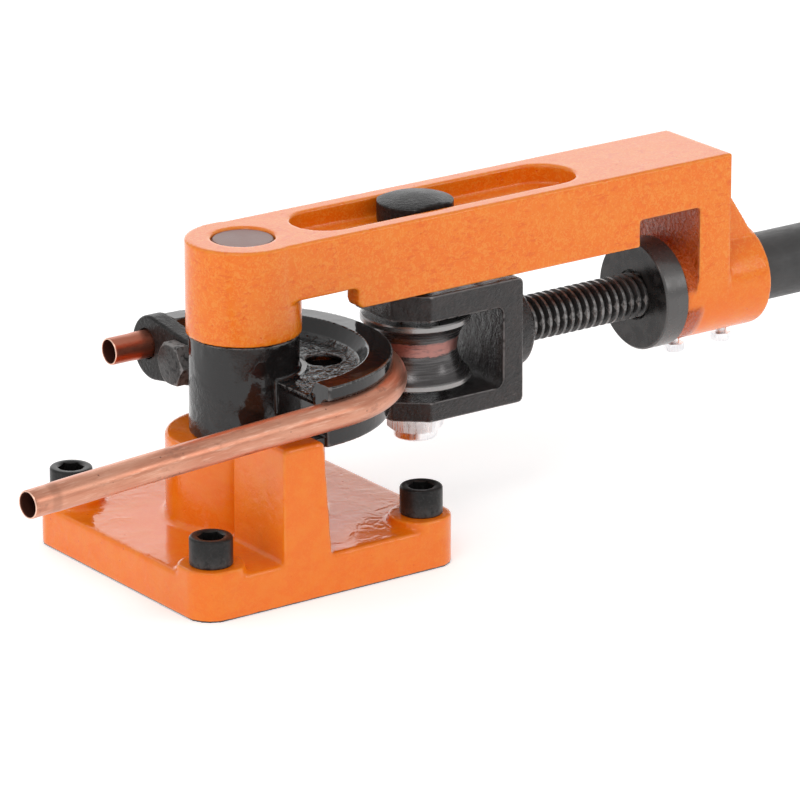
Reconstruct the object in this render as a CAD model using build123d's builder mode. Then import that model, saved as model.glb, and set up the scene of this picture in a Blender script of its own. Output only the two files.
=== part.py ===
"""Manual tube bender: a bench-mounted cast base with a fixed grooved die, and a swinging arm that
carries an adjustable roller.

Millimetres, +Z up. The origin is on the pivot axis at the base's underside. The arm points along +X
at rest, and -Y is the side with the base's stop rib.
"""
from build123d import *
from math import cos, radians, sin, sqrt
import os

os.makedirs("parts", exist_ok=True)

# ---------------------------------------------------------------- driving dimensions
RUN_GAP = 0.3            # gap between faces that move past each other
SHAFT_GAP = 0.05         # radial clearance of a shaft running in a bore

TUBE_R = 6.0             # workpiece: 12 mm copper tube
TUBE_WALL = 1.0
BEND_R = 61.5            # centreline radius of the bend
BEND_Z = 76.4            # height of the bend plane
AXIS_Z = 74.4            # height of the adjusting screw, the roller's waist and the handle

BASE_SIDE = 130.0
BASE_T = 18.0
CORNER_R = 12.5
SCREW_INSET = 12.5
PAD_R = 14.0
PAD_H = 3.4
COLUMN_R = 33.4
COLUMN_TOP = 54.0

PIN_R = 13.0
PIN_BOTTOM = 6.0
ARM_TOP = 137.5
PIN_RECESS = 0.8         # the pin's top lies this far below the arm's top
PIN_CHAMFER = 0.6

# ---------------------------------------------------------------- values worked out from them
SCREW_PITCH = BASE_SIDE - 2 * SCREW_INSET
BASE_EDGE = BASE_SIDE / 2
PAD_TOP = BASE_T + PAD_H
PIN_TOP = ARM_TOP - PIN_RECESS
CORNERS = [(-1, -1), (1, -1), (-1, 1), (1, 1)]
RUNNING_BORE_R = PIN_R + SHAFT_GAP


def save(piece, name):
    """Label a finished piece and write its STEP file."""
    piece.part.label = name
    export_step(piece.part, f"parts/{name}.step")


def hex_radius(across_flats):
    """Corner radius of a hexagon with the given size across its flats."""
    return across_flats / sqrt(3)


# ================================================================ base casting
RIB_LEFT = -24.8
RIB_RIGHT_TOP = -4.7
RIB_RIGHT_FOOT = -1.2
RIB_TOP = 67.4
RIB_BACK = -28.0
PLATE_FILLET = 2.0
PAD_FILLET = 0.8
COLUMN_FILLET = 2.0
FOOT_FILLET = 2.5
RIB_FILLET = 2.2
SCREW_R = 6.0
SCREW_HOLE_R = 6.5

with BuildPart() as base_casting:
    # square plate with round corners and a softened top edge
    with BuildSketch(Plane.XY) as plate_outline:
        RectangleRounded(BASE_SIDE, BASE_SIDE, CORNER_R)
    extrude(amount=BASE_T)
    fillet(base_casting.faces().sort_by(Axis.Z)[-1].edges(), PLATE_FILLET)
    # raised pads under the four screw heads
    with BuildSketch(Plane.XY) as pad_outline:
        with GridLocations(SCREW_PITCH, SCREW_PITCH, 2, 2):
            Circle(PAD_R)
        add(plate_outline.sketch, mode=Mode.INTERSECT)
    extrude(amount=PAD_TOP)
    fillet(base_casting.faces().filter_by(Plane.XY).group_by(Axis.Z)[-1].edges(), PAD_FILLET)
    # column that carries the die
    with BuildSketch(Plane.XY.offset(BASE_T)):
        Circle(COLUMN_R)
    extrude(amount=COLUMN_TOP - BASE_T)
    fillet(base_casting.faces().sort_by(Axis.Z)[-1].edges(), COLUMN_FILLET)
    column_foot = base_casting.edges().filter_by(GeomType.CIRCLE).filter_by(
        lambda e: abs(e.center().Z - BASE_T) < 0.1 and abs(e.radius - COLUMN_R) < 0.1
    )
    fillet(column_foot, FOOT_FILLET)
    # stop rib: the die's end bears on its right side, so that the die can't turn
    with BuildSketch(Plane.XZ.offset(BASE_EDGE)):
        with BuildLine():
            Polyline(
                (RIB_LEFT, 0),
                (RIB_RIGHT_FOOT, 0),
                (RIB_RIGHT_FOOT, BASE_T),
                (RIB_RIGHT_TOP, RIB_TOP),
                (RIB_LEFT, RIB_TOP),
                close=True,
            )
        make_face()
    extrude(amount=-(BASE_EDGE + RIB_BACK))
    fillet(base_casting.faces().sort_by(Axis.Z)[-1].edges(), RIB_FILLET)
    # blind bore for the pivot pin, and the four screw holes
    with Locations((0, 0, COLUMN_TOP)):
        Hole(PIN_R, depth=COLUMN_TOP - PIN_BOTTOM)
    with Locations(Plane.XY.offset(PAD_TOP)):
        with GridLocations(SCREW_PITCH, SCREW_PITCH, 2, 2):
            Hole(SCREW_HOLE_R)
save(base_casting, "base_casting")


# ================================================================ bench screws
HEAD_R = 9.0
HEAD_H = 12.0
HEX_SOCKET_AF = 10.0
HEX_SOCKET_DEPTH = 6.0
HEAD_FILLET = 1.0
SHANK_R = 5.4            # rolled-thread screws have a shank of the thread's pitch diameter
SHANK_BELOW = 0.8        # stretch of shank under the base
SCREW_BELOW = 14.0       # where the thread that goes into the bench ends
SCREW_TIP_CHAMFER = 1.2


def socket_screw(x, y):
    """Socket-head screw standing on a base pad, with its thread below the base."""
    with BuildPart() as screw:
        with Locations((x, y, PAD_TOP)):
            Cylinder(HEAD_R, HEAD_H, align=(Align.CENTER, Align.CENTER, Align.MIN))
        fillet(screw.edges().filter_by(GeomType.CIRCLE).sort_by(Axis.Z)[-1], HEAD_FILLET)
        with BuildSketch(Plane.XY.offset(PAD_TOP + HEAD_H)):
            with Locations((x, y)):
                RegularPolygon(hex_radius(HEX_SOCKET_AF), 6)
        extrude(amount=-HEX_SOCKET_DEPTH, mode=Mode.SUBTRACT)
        with Locations((x, y, -SHANK_BELOW)):
            Cylinder(SHANK_R, PAD_TOP + SHANK_BELOW, align=(Align.CENTER, Align.CENTER, Align.MIN))
            Cylinder(SCREW_R, SCREW_BELOW - SHANK_BELOW, align=(Align.CENTER, Align.CENTER, Align.MAX))
        chamfer(screw.edges().filter_by(GeomType.CIRCLE).sort_by(Axis.Z)[0], SCREW_TIP_CHAMFER)
    return screw


for number, (side_x, side_y) in enumerate(CORNERS, start=1):
    bench_screw = socket_screw(side_x * SCREW_PITCH / 2, side_y * SCREW_PITCH / 2)
    save(bench_screw, f"bench_screw_{number}")


# ================================================================ pivot pin
with BuildPart() as pivot_pin:
    with Locations((0, 0, PIN_BOTTOM)):
        Cylinder(PIN_R, PIN_TOP - PIN_BOTTOM, align=(Align.CENTER, Align.CENTER, Align.MIN))
    chamfer(pivot_pin.edges().filter_by(GeomType.CIRCLE).sort_by(Axis.Z)[-1], PIN_CHAMFER)
save(pivot_pin, "pivot_pin")


# ================================================================ bending die
HUB_R = 23.2
HUB_TOP = 96.5
UPPER_FLANGE_R = 61.7
LOWER_FLANGE_R = 60.4
DIE_TOP = 88.4
DIE_BOTTOM = 62.3
RIM_INNER_R = 51.4       # top of the dished inside wall
BOWL_R = 46.4            # foot of the dished inside wall
WEB_TOP = 81.0
WEB_BOTTOM = 66.5
GROOVE_R = 6.1
WEB_HOLE_R = 7.6
WEB_HOLE_PITCH_R = 34.3
WEB_HOLE_ANGLE = -19.0
LUG_LEFT = -4.0
LUG_RIGHT = 2.0
LUG_INNER_Y = -42.0
LUG_OUTER_Y = -58.5
LUG_T = 4.0
RIM_EDGE = 0.6           # chamfer on the rim's outer corners
WEB_ROOT_R = PIN_R + 4   # the web starts inside the hub
RIM_FOOT_R = RIM_INNER_R - 2
CLAMP_BOLT_Y = 34.5
CLAMP_BOLT_Z = 75.5
CLAMP_BOLT_R = 5.0
CLAMP_BOSS_R = 10.5
CLAMP_BOSS_L = 20.0

with BuildPart() as bending_die:
    # half wheel: a dished web and a deep rim, turned from -Y round through +X to +Y
    with BuildSketch(Plane.XZ) as wheel_profile:
        with BuildLine():
            Polyline(
                (WEB_ROOT_R, WEB_BOTTOM),
                (BOWL_R, WEB_BOTTOM),
                (RIM_FOOT_R, DIE_BOTTOM),
                (LOWER_FLANGE_R - RIM_EDGE, DIE_BOTTOM),
                (LOWER_FLANGE_R, DIE_BOTTOM + RIM_EDGE),
                (LOWER_FLANGE_R, BEND_Z),
                (UPPER_FLANGE_R, BEND_Z),
                (UPPER_FLANGE_R, DIE_TOP - RIM_EDGE),
                (UPPER_FLANGE_R - RIM_EDGE, DIE_TOP),
                (RIM_INNER_R, DIE_TOP),
                (BOWL_R, WEB_TOP),
                (WEB_ROOT_R, WEB_TOP),
                close=True,
            )
        make_face()
        with Locations((BEND_R, BEND_Z)):
            Circle(GROOVE_R, mode=Mode.SUBTRACT)
    revolve(axis=Axis.Z, revolution_arc=90)
    revolve(wheel_profile.sketch, axis=Axis.Z, revolution_arc=-90)
    # hub that stands on the column
    with BuildSketch(Plane.XY.offset(COLUMN_TOP)):
        Circle(HUB_R)
    extrude(amount=HUB_TOP - COLUMN_TOP)
    # stop lug on the lower flange, against the base's rib
    with BuildSketch(Plane.XY.offset(DIE_BOTTOM)):
        with BuildLine():
            Polyline(
                (LUG_LEFT, LUG_INNER_Y),
                (LUG_RIGHT, LUG_INNER_Y),
                (LUG_RIGHT, LUG_OUTER_Y),
                (LUG_LEFT, LUG_OUTER_Y),
                close=True,
            )
        make_face()
    extrude(amount=LUG_T)
    # boss for the clamp bolt, on the far end face
    with BuildSketch(Plane.YZ):
        with Locations((CLAMP_BOLT_Y, CLAMP_BOLT_Z)):
            Circle(CLAMP_BOSS_R)
    extrude(amount=CLAMP_BOSS_L)
    with BuildSketch(Plane.YZ):
        with Locations((CLAMP_BOLT_Y, CLAMP_BOLT_Z)):
            Circle(CLAMP_BOLT_R)
    extrude(amount=CLAMP_BOSS_L, mode=Mode.SUBTRACT)
    # lightening hole in the web
    with BuildSketch(Plane.XY.offset(WEB_TOP)):
        with PolarLocations(WEB_HOLE_PITCH_R, 1, start_angle=WEB_HOLE_ANGLE):
            Circle(WEB_HOLE_R)
    extrude(amount=-(WEB_TOP - WEB_BOTTOM), mode=Mode.SUBTRACT)
    with Locations((0, 0, HUB_TOP)):
        Hole(RUNNING_BORE_R)
save(bending_die, "bending_die")


# ================================================================ tube clamp and its bolt
CLAMP_T = 8.0
CLAMP_BACK_X = -RUN_GAP
CLAMP_FRONT_X = CLAMP_BACK_X - CLAMP_T
EYE_Y = 58.5
EYE_Z = 75.2
EYE_OUTER_R = 14.0
EYE_HOLE_R = 6.6
CLAMP_END_R = 10.3
CLAMP_CHAMFER = 0.8
CLAMP_HEAD_AF = 17.0
CLAMP_HEAD_H = 6.4

with BuildPart() as tube_clamp:
    # link plate standing across the far end of the die, with an eye for the tube
    with BuildSketch(Plane.YZ.offset(CLAMP_FRONT_X)):
        with Locations((EYE_Y, EYE_Z)):
            Circle(EYE_OUTER_R)
        with Locations((CLAMP_BOLT_Y, CLAMP_BOLT_Z)):
            Circle(CLAMP_END_R)
        make_hull()
        with Locations((BEND_R, BEND_Z)):
            Circle(EYE_HOLE_R, mode=Mode.SUBTRACT)
        with Locations((CLAMP_BOLT_Y, CLAMP_BOLT_Z)):
            Circle(CLAMP_BOLT_R, mode=Mode.SUBTRACT)
    extrude(amount=CLAMP_T)
    chamfer(tube_clamp.faces().filter_by(Axis.X).sort_by(Axis.X)[0].outer_wire().edges(), CLAMP_CHAMFER)
save(tube_clamp, "tube_clamp")

with BuildPart() as clamp_bolt:
    with BuildSketch(Plane.YZ.offset(CLAMP_FRONT_X)):
        with Locations((CLAMP_BOLT_Y, CLAMP_BOLT_Z)):
            RegularPolygon(hex_radius(CLAMP_HEAD_AF), 6)
    extrude(amount=-CLAMP_HEAD_H)
    with BuildSketch(Plane.YZ.offset(CLAMP_FRONT_X)):
        with Locations((CLAMP_BOLT_Y, CLAMP_BOLT_Z)):
            Circle(CLAMP_BOLT_R)
    extrude(amount=CLAMP_T + CLAMP_BOSS_L)
save(clamp_bolt, "clamp_bolt")


# ================================================================ copper tube (workpiece)
BEND_END_DEG = -84.8     # the near leg leaves the die here; the far leg leaves it at +90
FAR_LEG_END_X = -27.0
NEAR_LEG_L = 160.0
NEAR_LEG_SAG = 2.0       # its free end hangs this far below the bend plane


def near_leg_point(distance):
    """Point on the near leg's centreline, measured from where it leaves the die."""
    end = radians(BEND_END_DEG)
    return (
        BEND_R * cos(end) + distance * sin(end),
        BEND_R * sin(end) - distance * cos(end),
        -NEAR_LEG_SAG * (distance / NEAR_LEG_L) ** 2,
    )


with BuildPart() as copper_tube:
    with BuildLine(Plane.XY.offset(BEND_Z)) as tube_route:
        Line((FAR_LEG_END_X, BEND_R), (0, BEND_R))
        CenterArc((0, 0), BEND_R, 90, BEND_END_DEG - 90)
        ThreePointArc(near_leg_point(0), near_leg_point(NEAR_LEG_L / 2), near_leg_point(NEAR_LEG_L))
    with BuildSketch(Plane(origin=(FAR_LEG_END_X, BEND_R, BEND_Z), z_dir=(1, 0, 0))):
        Circle(TUBE_R)
        Circle(TUBE_R - TUBE_WALL, mode=Mode.SUBTRACT)
    sweep(path=tube_route.wires()[0])
save(copper_tube, "copper_tube")


# ================================================================ swinging arm
BARREL_R = 24.2
BARREL_BOTTOM = HUB_TOP + RUN_GAP
ARM_HALF_W = 23.2
ARM_END_X = 239.5
WEB_UNDER = 113.0
RAIL_UNDER = 104.0
RAIL_FRONT_X = 42.3
RAIL_T = 9.0
BUSH_R = 15.5
BUSH_TOP = 126.0
PIN_HOLE_R = 13.3
SLOT_FRONT_X = 41.6      # centres of the round ends of the slot
SLOT_REAR_X = 152.8
RECESS_R = 15.0
RECESS_FLOOR = 128.8
BOLT_R = 7.0
SLOT_GAP = 0.5           # room each side of the roller bolt in the slot
SLOT_R = BOLT_R + SLOT_GAP
WINDOW_FRONT_X = 189.5
WINDOW_REAR_X = 221.6
WINDOW_TOP = 116.0
BOSS_FRONT_X = 216.0
BOSS_REAR_X = 262.5
BOSS_R = 23.0
SCREW_CLEARANCE_R = 11.9
SOCKET_FRONT_X = 222.0
HANDLE_R = 15.0
HANDLE_WALL = 3.0
SOCKET_GAP = 0.1         # radial room for the handle tube in its socket
SOCKET_R = HANDLE_R + SOCKET_GAP
GUSSET_HALF_T = 12.0
GUSSET_TOP = 126.6
GUSSET_ROOT_X = ARM_END_X - 4
GUSSET_REAR_X = BOSS_REAR_X - 1.5
GUSSET_ROOT_Z = AXIS_Z + BOSS_R - 6
GUSSET_REAR_Z = AXIS_Z + BOSS_R - 4
WINDOW_FILLET = 4.0
RAIL_FILLET = 2.5
ARM_END_FILLET = 1.5
BOSS_FILLET = 1.2
SET_SCREW_R = 2.5
SET_SCREW_XS = (226.5, 252.5)
AXIS_PLANE = Plane(origin=(0, 0, AXIS_Z), x_dir=(0, 1, 0), z_dir=(1, 0, 0))

with BuildPart() as arm_casting:
    # side view of the beam, its hanging rails and the leg that carries the screw boss
    with BuildSketch(Plane.XZ) as beam_side:
        with BuildLine():
            Polyline(
                (0, WEB_UNDER),
                (0, ARM_TOP),
                (ARM_END_X, ARM_TOP),
                (ARM_END_X, AXIS_Z),
                (WINDOW_REAR_X, AXIS_Z),
                (WINDOW_REAR_X, WINDOW_TOP),
                (WINDOW_FRONT_X, WINDOW_TOP),
                (WINDOW_FRONT_X, RAIL_UNDER),
                (RAIL_FRONT_X, RAIL_UNDER),
                (RAIL_FRONT_X, WEB_UNDER),
                close=True,
            )
        make_face()
        rounded = beam_side.vertices().filter_by(
            lambda v: v.X in (WINDOW_FRONT_X, WINDOW_REAR_X) and v.Z == WINDOW_TOP
        )
        fillet(rounded, WINDOW_FILLET)
        fillet(beam_side.vertices().filter_by(lambda v: v.X == RAIL_FRONT_X), RAIL_FILLET)
    extrude(amount=ARM_HALF_W, both=True)
    fillet(arm_casting.edges().filter_by(Axis.Z).group_by(Axis.X)[-1], ARM_END_FILLET)
    # hollow between the two rails
    with BuildSketch(Plane.XY.offset(RAIL_UNDER)):
        with Locations(((RAIL_FRONT_X + WINDOW_FRONT_X) / 2 - RAIL_T, 0)):
            Rectangle(WINDOW_FRONT_X - RAIL_FRONT_X, 2 * (ARM_HALF_W - RAIL_T))
    extrude(amount=WEB_UNDER - RAIL_UNDER, mode=Mode.SUBTRACT)
    # pivot barrel
    with BuildSketch(Plane.XY.offset(BARREL_BOTTOM)):
        Circle(BARREL_R)
    extrude(amount=ARM_TOP - BARREL_BOTTOM)
    # screw boss with its gusset up to the end of the beam
    with BuildSketch(AXIS_PLANE.offset(BOSS_FRONT_X)):
        Circle(BOSS_R)
    extrude(amount=BOSS_REAR_X - BOSS_FRONT_X)
    with BuildSketch(Plane.XZ):
        with BuildLine():
            Polyline(
                (GUSSET_ROOT_X, GUSSET_ROOT_Z),
                (GUSSET_ROOT_X, GUSSET_TOP),
                (ARM_END_X, GUSSET_TOP),
                (GUSSET_REAR_X, GUSSET_REAR_Z),
                (GUSSET_REAR_X, GUSSET_ROOT_Z),
                close=True,
            )
        make_face()
    extrude(amount=GUSSET_HALF_T, both=True)
    # rear edge of the boss
    boss_end = arm_casting.faces().filter_by(Axis.X).sort_by(Axis.X)[-1]
    fillet(boss_end.edges(), BOSS_FILLET)
    # stepped slot for the roller bolt
    for slot_r, floor in ((RECESS_R, RECESS_FLOOR), (SLOT_R, WEB_UNDER)):
        with BuildSketch(Plane.XY.offset(ARM_TOP)):
            with Locations(((SLOT_FRONT_X + SLOT_REAR_X) / 2, 0)):
                SlotCenterToCenter(SLOT_REAR_X - SLOT_FRONT_X, 2 * slot_r)
        extrude(amount=floor - ARM_TOP, mode=Mode.SUBTRACT)
    # pivot bore with its bush seat
    with Locations((0, 0, ARM_TOP)):
        Hole(PIN_HOLE_R)
    with BuildSketch(Plane.XY.offset(BARREL_BOTTOM)):
        Circle(BUSH_R)
    extrude(amount=BUSH_TOP - BARREL_BOTTOM, mode=Mode.SUBTRACT)
    # screw clearance and handle socket through the boss
    with BuildSketch(AXIS_PLANE.offset(BOSS_FRONT_X)):
        Circle(SCREW_CLEARANCE_R)
    extrude(amount=SOCKET_FRONT_X - BOSS_FRONT_X, mode=Mode.SUBTRACT)
    with BuildSketch(AXIS_PLANE.offset(SOCKET_FRONT_X)):
        Circle(SOCKET_R)
    extrude(amount=BOSS_REAR_X - SOCKET_FRONT_X, mode=Mode.SUBTRACT)
    # holes for the two set screws, up from below
    with BuildSketch(Plane.XY.offset(AXIS_Z - BOSS_R)):
        with Locations([(x, 0) for x in SET_SCREW_XS]):
            Circle(SET_SCREW_R)
    extrude(amount=BOSS_R, mode=Mode.SUBTRACT)
save(arm_casting, "arm_casting")

with BuildPart() as pivot_bush:
    with BuildSketch(Plane.XY.offset(BARREL_BOTTOM)):
        Circle(BUSH_R)
        Circle(RUNNING_BORE_R, mode=Mode.SUBTRACT)
    extrude(amount=BUSH_TOP - BARREL_BOTTOM)
save(pivot_bush, "pivot_bush")


# ================================================================ handle
HANDLE_L = 320.0
HANDLE_END_GAP = 0.5     # between the handle tube and the bottom of its socket
HANDLE_FRONT_X = SOCKET_FRONT_X + HANDLE_END_GAP
HANDLE_END_X = HANDLE_FRONT_X + HANDLE_L
PLUG_FLANGE_T = 3.0
PLUG_L = 14.0
PLUG_FILLET = 2.0
SET_HEAD_AF = 8.0
SET_HEAD_H = 3.6
SET_GAP = 3.0            # thread showing between the boss and a set screw's head

with BuildPart() as handle_tube:
    with BuildSketch(AXIS_PLANE.offset(HANDLE_FRONT_X)):
        Circle(HANDLE_R)
        Circle(HANDLE_R - HANDLE_WALL, mode=Mode.SUBTRACT)
    extrude(amount=HANDLE_L)
save(handle_tube, "handle_tube")

with BuildPart() as handle_plug:
    with BuildSketch(AXIS_PLANE.offset(HANDLE_END_X)):
        Circle(HANDLE_R)
    extrude(amount=PLUG_FLANGE_T)
    fillet(handle_plug.edges().sort_by(Axis.X)[-1], PLUG_FILLET)
    with BuildSketch(AXIS_PLANE.offset(HANDLE_END_X)):
        Circle(HANDLE_R - HANDLE_WALL)
    extrude(amount=-PLUG_L)
save(handle_plug, "handle_plug")


def set_screw(x):
    """Hexagon-head screw that comes up through the boss and bears on the handle tube."""
    head_top = AXIS_Z - BOSS_R - SET_GAP
    with BuildPart() as screw:
        with BuildSketch(Plane.XY.offset(head_top)):
            with Locations((x, 0)):
                RegularPolygon(hex_radius(SET_HEAD_AF), 6)
        extrude(amount=-SET_HEAD_H)
        with BuildSketch(Plane.XY.offset(head_top)):
            with Locations((x, 0)):
                Circle(SET_SCREW_R)
        extrude(amount=AXIS_Z - HANDLE_R - head_top)
    return screw


for number, screw_x in enumerate(SET_SCREW_XS, start=1):
    save(set_screw(screw_x), f"handle_screw_{number}")


# ================================================================ roller yoke
ROLLER_X = 87.3
YOKE_FRONT_X = 65.6
YOKE_REAR_X = 126.5
YOKE_HALF_W = 24.0
YOKE_NOSE_HALF_W = 13.0
YOKE_SHOULDER_X = 78.5
YOKE_TOP = 102.8
YOKE_BOTTOM = 47.2
YOKE_INNER_TOP = 91.3
YOKE_INNER_BOTTOM = 56.0
YOKE_INNER_REAR_X = 116.0
YOKE_BOSS_R = 19.0
YOKE_BOSS_REAR_X = 137.5
THREAD_R = 10.0
SCREW_FRONT_X = 118.0
SCREW_REAR_X = 252.0
LOCK_PIN_R = 2.5
LOCK_PIN_X = 131.0
LOCK_PIN_RECESS = 0.5    # at each end of the pin, inside the boss
YOKE_FILLET = 2.5
MOUTH_FILLET = 3.0
MOUTH_FRONT_X = YOKE_FRONT_X - 1
SCREW_END_CHAMFER = 1.5

with BuildPart() as roller_yoke:
    with BuildSketch(Plane.XY.offset(YOKE_BOTTOM)):
        with BuildLine():
            Polyline(
                (YOKE_FRONT_X, -YOKE_NOSE_HALF_W),
                (YOKE_SHOULDER_X, -YOKE_HALF_W),
                (YOKE_REAR_X, -YOKE_HALF_W),
                (YOKE_REAR_X, YOKE_HALF_W),
                (YOKE_SHOULDER_X, YOKE_HALF_W),
                (YOKE_FRONT_X, YOKE_NOSE_HALF_W),
                close=True,
            )
        make_face()
    extrude(amount=YOKE_TOP - YOKE_BOTTOM)
    fillet(roller_yoke.edges().filter_by(Axis.Y).group_by(Axis.X)[-1], YOKE_FILLET)
    with BuildSketch(Plane.XZ) as yoke_mouth:
        with BuildLine():
            Polyline(
                (MOUTH_FRONT_X, YOKE_INNER_BOTTOM),
                (YOKE_INNER_REAR_X, YOKE_INNER_BOTTOM),
                (YOKE_INNER_REAR_X, YOKE_INNER_TOP),
                (MOUTH_FRONT_X, YOKE_INNER_TOP),
                close=True,
            )
        make_face()
        fillet(yoke_mouth.vertices().filter_by(lambda v: v.X == YOKE_INNER_REAR_X), MOUTH_FILLET)
    extrude(amount=YOKE_HALF_W, both=True, mode=Mode.SUBTRACT)
    # boss for the adjusting screw
    with BuildSketch(AXIS_PLANE.offset(YOKE_REAR_X)):
        Circle(YOKE_BOSS_R)
    extrude(amount=YOKE_BOSS_REAR_X - YOKE_REAR_X)
    fillet(roller_yoke.faces().filter_by(Axis.X).sort_by(Axis.X)[-1].edges(), YOKE_FILLET)
    with BuildSketch(AXIS_PLANE.offset(YOKE_BOSS_REAR_X)):
        Circle(THREAD_R)
    extrude(amount=SCREW_FRONT_X - YOKE_BOSS_REAR_X, mode=Mode.SUBTRACT)
    with Locations((ROLLER_X, 0, YOKE_TOP)):
        Hole(BOLT_R + SHAFT_GAP)
    # cross hole for the lock pin
    with BuildSketch(Plane.XY.offset(AXIS_Z + YOKE_BOSS_R)):
        with Locations((LOCK_PIN_X, 0)):
            Circle(LOCK_PIN_R)
    extrude(amount=-2 * YOKE_BOSS_R, mode=Mode.SUBTRACT)
save(roller_yoke, "roller_yoke")

with BuildPart() as adjusting_screw:
    with BuildSketch(AXIS_PLANE.offset(SCREW_FRONT_X)):
        Circle(THREAD_R)
    extrude(amount=SCREW_REAR_X - SCREW_FRONT_X)
    chamfer(adjusting_screw.edges().filter_by(GeomType.CIRCLE).sort_by(Axis.X)[-1], SCREW_END_CHAMFER)
    with BuildSketch(Plane.XY.offset(AXIS_Z + YOKE_BOSS_R)):
        with Locations((LOCK_PIN_X, 0)):
            Circle(LOCK_PIN_R)
    extrude(amount=-2 * YOKE_BOSS_R, mode=Mode.SUBTRACT)
save(adjusting_screw, "adjusting_screw")

with BuildPart() as screw_lock_pin:
    with BuildSketch(Plane.XY.offset(AXIS_Z - YOKE_BOSS_R + LOCK_PIN_RECESS)):
        with Locations((LOCK_PIN_X, 0)):
            Circle(LOCK_PIN_R)
    extrude(amount=2 * (YOKE_BOSS_R - LOCK_PIN_RECESS))
save(screw_lock_pin, "screw_lock_pin")


# ================================================================ grooved roller, bush and shims
ROLLER_R = 23.5
ROLLER_WAIST_R = 17.7
ROLLER_HALF_H = 14.5
GROOVE_HALF_H = 12.0
ROLLER_BUSH_R = 9.0
GROOVE_DEPTH = ROLLER_R - ROLLER_WAIST_R
GROOVE_ARC_R = (GROOVE_HALF_H**2 + GROOVE_DEPTH**2) / (2 * GROOVE_DEPTH)
ROLLER_TOP = AXIS_Z + ROLLER_HALF_H
ROLLER_BOTTOM = AXIS_Z - ROLLER_HALF_H
SHIM_R = 12.0
ROLLER_CHAMFER = 0.6

with BuildPart() as grooved_roller:
    with BuildSketch(Plane.XY.offset(ROLLER_BOTTOM)):
        with Locations((ROLLER_X, 0)):
            Circle(ROLLER_R)
    extrude(amount=2 * ROLLER_HALF_H)
    chamfer(grooved_roller.edges().filter_by(GeomType.CIRCLE), ROLLER_CHAMFER)
    with BuildSketch(Plane.XZ):
        with Locations((ROLLER_X + ROLLER_WAIST_R + GROOVE_ARC_R, AXIS_Z)):
            Circle(GROOVE_ARC_R)
    revolve(axis=Axis((ROLLER_X, 0, 0), (0, 0, 1)), mode=Mode.SUBTRACT)
    with Locations((ROLLER_X, 0, ROLLER_TOP)):
        Hole(ROLLER_BUSH_R)
save(grooved_roller, "grooved_roller")


def ring(z_low, z_high, outer_r, inner_r):
    """Plain ring on the roller's axis."""
    with BuildPart() as piece:
        with BuildSketch(Plane.XY.offset(z_low)):
            with Locations((ROLLER_X, 0)):
                Circle(outer_r)
                Circle(inner_r, mode=Mode.SUBTRACT)
        extrude(amount=z_high - z_low)
    return piece


roller_bush = ring(ROLLER_BOTTOM, ROLLER_TOP, ROLLER_BUSH_R, BOLT_R + SHAFT_GAP)
save(roller_bush, "roller_bush")
lower_shim = ring(YOKE_INNER_BOTTOM, ROLLER_BOTTOM - RUN_GAP, SHIM_R, BOLT_R + SHAFT_GAP)
save(lower_shim, "roller_shim_lower")
upper_shim = ring(ROLLER_TOP + RUN_GAP, YOKE_INNER_TOP, SHIM_R, BOLT_R + SHAFT_GAP)
save(upper_shim, "roller_shim_upper")


# ================================================================ roller bolt and nut
HEAD_DISC_R = 16.3
HEAD_HALF_FLATS = 13.3
HEAD_GAP = 0.2           # between the bolt's head and the recess floor
HEAD_UNDER = RECESS_FLOOR + HEAD_GAP
HEAD_RIM_TOP = 138.1
CROWN_H = 2.4
NUT_AF = 21.0
NUT_TOP = YOKE_BOTTOM
NUT_HEX_H = 10.0
NUT_COLLAR_R = 9.6
NUT_COLLAR_H = 3.6
COLLAR_FILLET = 1.2
BOLT_INSET = 1.0         # the bolt ends this far inside the nut's collar
BOLT_END = NUT_TOP - NUT_HEX_H - NUT_COLLAR_H + BOLT_INSET
CROWN_R = (HEAD_DISC_R**2 + CROWN_H**2) / (2 * CROWN_H)

with BuildPart() as roller_bolt:
    # crowned round head with two flats that keep it from turning in the slot
    with BuildSketch(Plane.XY.offset(HEAD_UNDER)):
        with Locations((ROLLER_X, 0)):
            Circle(HEAD_DISC_R)
            Rectangle(2 * HEAD_DISC_R, 2 * HEAD_HALF_FLATS, mode=Mode.INTERSECT)
    extrude(amount=HEAD_RIM_TOP + CROWN_H - HEAD_UNDER)
    with Locations((ROLLER_X, 0, HEAD_RIM_TOP + CROWN_H - CROWN_R)):
        Sphere(CROWN_R, mode=Mode.INTERSECT)
    with BuildSketch(Plane.XY.offset(HEAD_UNDER)):
        with Locations((ROLLER_X, 0)):
            Circle(BOLT_R)
    extrude(amount=BOLT_END - HEAD_UNDER)
save(roller_bolt, "roller_bolt")

with BuildPart() as roller_nut:
    with BuildSketch(Plane.XY.offset(NUT_TOP)):
        with Locations((ROLLER_X, 0)):
            RegularPolygon(hex_radius(NUT_AF), 6)
    extrude(amount=-NUT_HEX_H)
    with BuildSketch(Plane.XY.offset(NUT_TOP - NUT_HEX_H)):
        with Locations((ROLLER_X, 0)):
            Circle(NUT_COLLAR_R)
    extrude(amount=-NUT_COLLAR_H)
    fillet(roller_nut.edges().filter_by(GeomType.CIRCLE).sort_by(Axis.Z)[0], COLLAR_FILLET)
    with Locations((ROLLER_X, 0, NUT_TOP)):
        Hole(BOLT_R)
save(roller_nut, "roller_nut")


# ================================================================ adjusting wheel
WHEEL_R = 24.3
WHEEL_FRONT_X = 203.5
WHEEL_REAR_X = BOSS_FRONT_X - RUN_GAP
WHEEL_BORE_R = THREAD_R + SHAFT_GAP
RIM_CHAMFER = 0.8
BORE_CHAMFER = 1.2

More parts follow.
